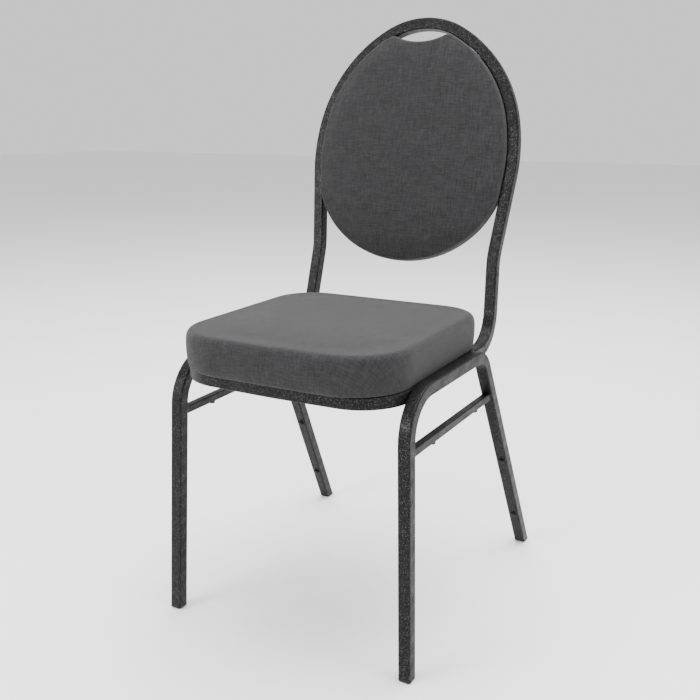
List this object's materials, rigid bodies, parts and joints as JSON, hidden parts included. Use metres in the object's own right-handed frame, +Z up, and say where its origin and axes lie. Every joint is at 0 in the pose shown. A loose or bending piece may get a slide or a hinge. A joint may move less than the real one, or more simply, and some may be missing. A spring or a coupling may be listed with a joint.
{
  "type": "stacking chair",
  "caption": "Armless stacking banquet chair with a bent square-tube frame, a boxed fabric seat cushion and an oval padded back in a tube hoop with a hand grip.",
  "frame": {"origin": "on the floor under the middle of the chair's overall box", "axes": "+Z up, +Y towards the chair's back, +X to the right of someone who looks at the chair from the front"},
  "size_m": [0.4436, 0.5483, 0.9385],
  "materials": {
    "frame_paint": "black hammertone paint with a fine silver fleck",
    "upholstery": "charcoal melange woven cloth",
    "plywood": "raw plywood",
    "dust_cloth": "black non-woven cloth",
    "black_plastic": "moulded, fine grain",
    "zinc_steel": "zinc plated"
  },
  "bodies": {
    "root": {"back_frame": "frame_paint", "seat_front_rail": "frame_paint", "seat_rear_rail": "frame_paint", "seat_cross_bar": "frame_paint", "seat_mount_tabs": "frame_paint", "left_leg_loop": "frame_paint", "right_leg_loop": "frame_paint", "left_brace": "frame_paint", "right_brace": "frame_paint", "back_mount_tabs": "frame_paint", "seat_cushion": "upholstery", "back_pad": "upholstery", "back_rear_panel": "upholstery", "seat_board": "plywood", "back_board": "plywood", "seat_dust_cover": "dust_cloth", "front_left_glide": "black_plastic", "front_right_glide": "black_plastic", "rear_left_glide": "black_plastic", "rear_right_glide": "black_plastic", "front_left_leg_bumpers": "black_plastic", "front_right_leg_bumpers": "black_plastic", "rear_left_leg_bumpers": "black_plastic", "rear_right_leg_bumpers": "black_plastic", "left_brace_bumpers": "black_plastic", "right_brace_bumpers": "black_plastic", "back_panel_clips": "black_plastic", "seat_screws": "zinc_steel", "seat_tee_nuts": "zinc_steel", "back_screws": "zinc_steel", "back_tee_nuts": "zinc_steel"}
  },
  "joints": []
}
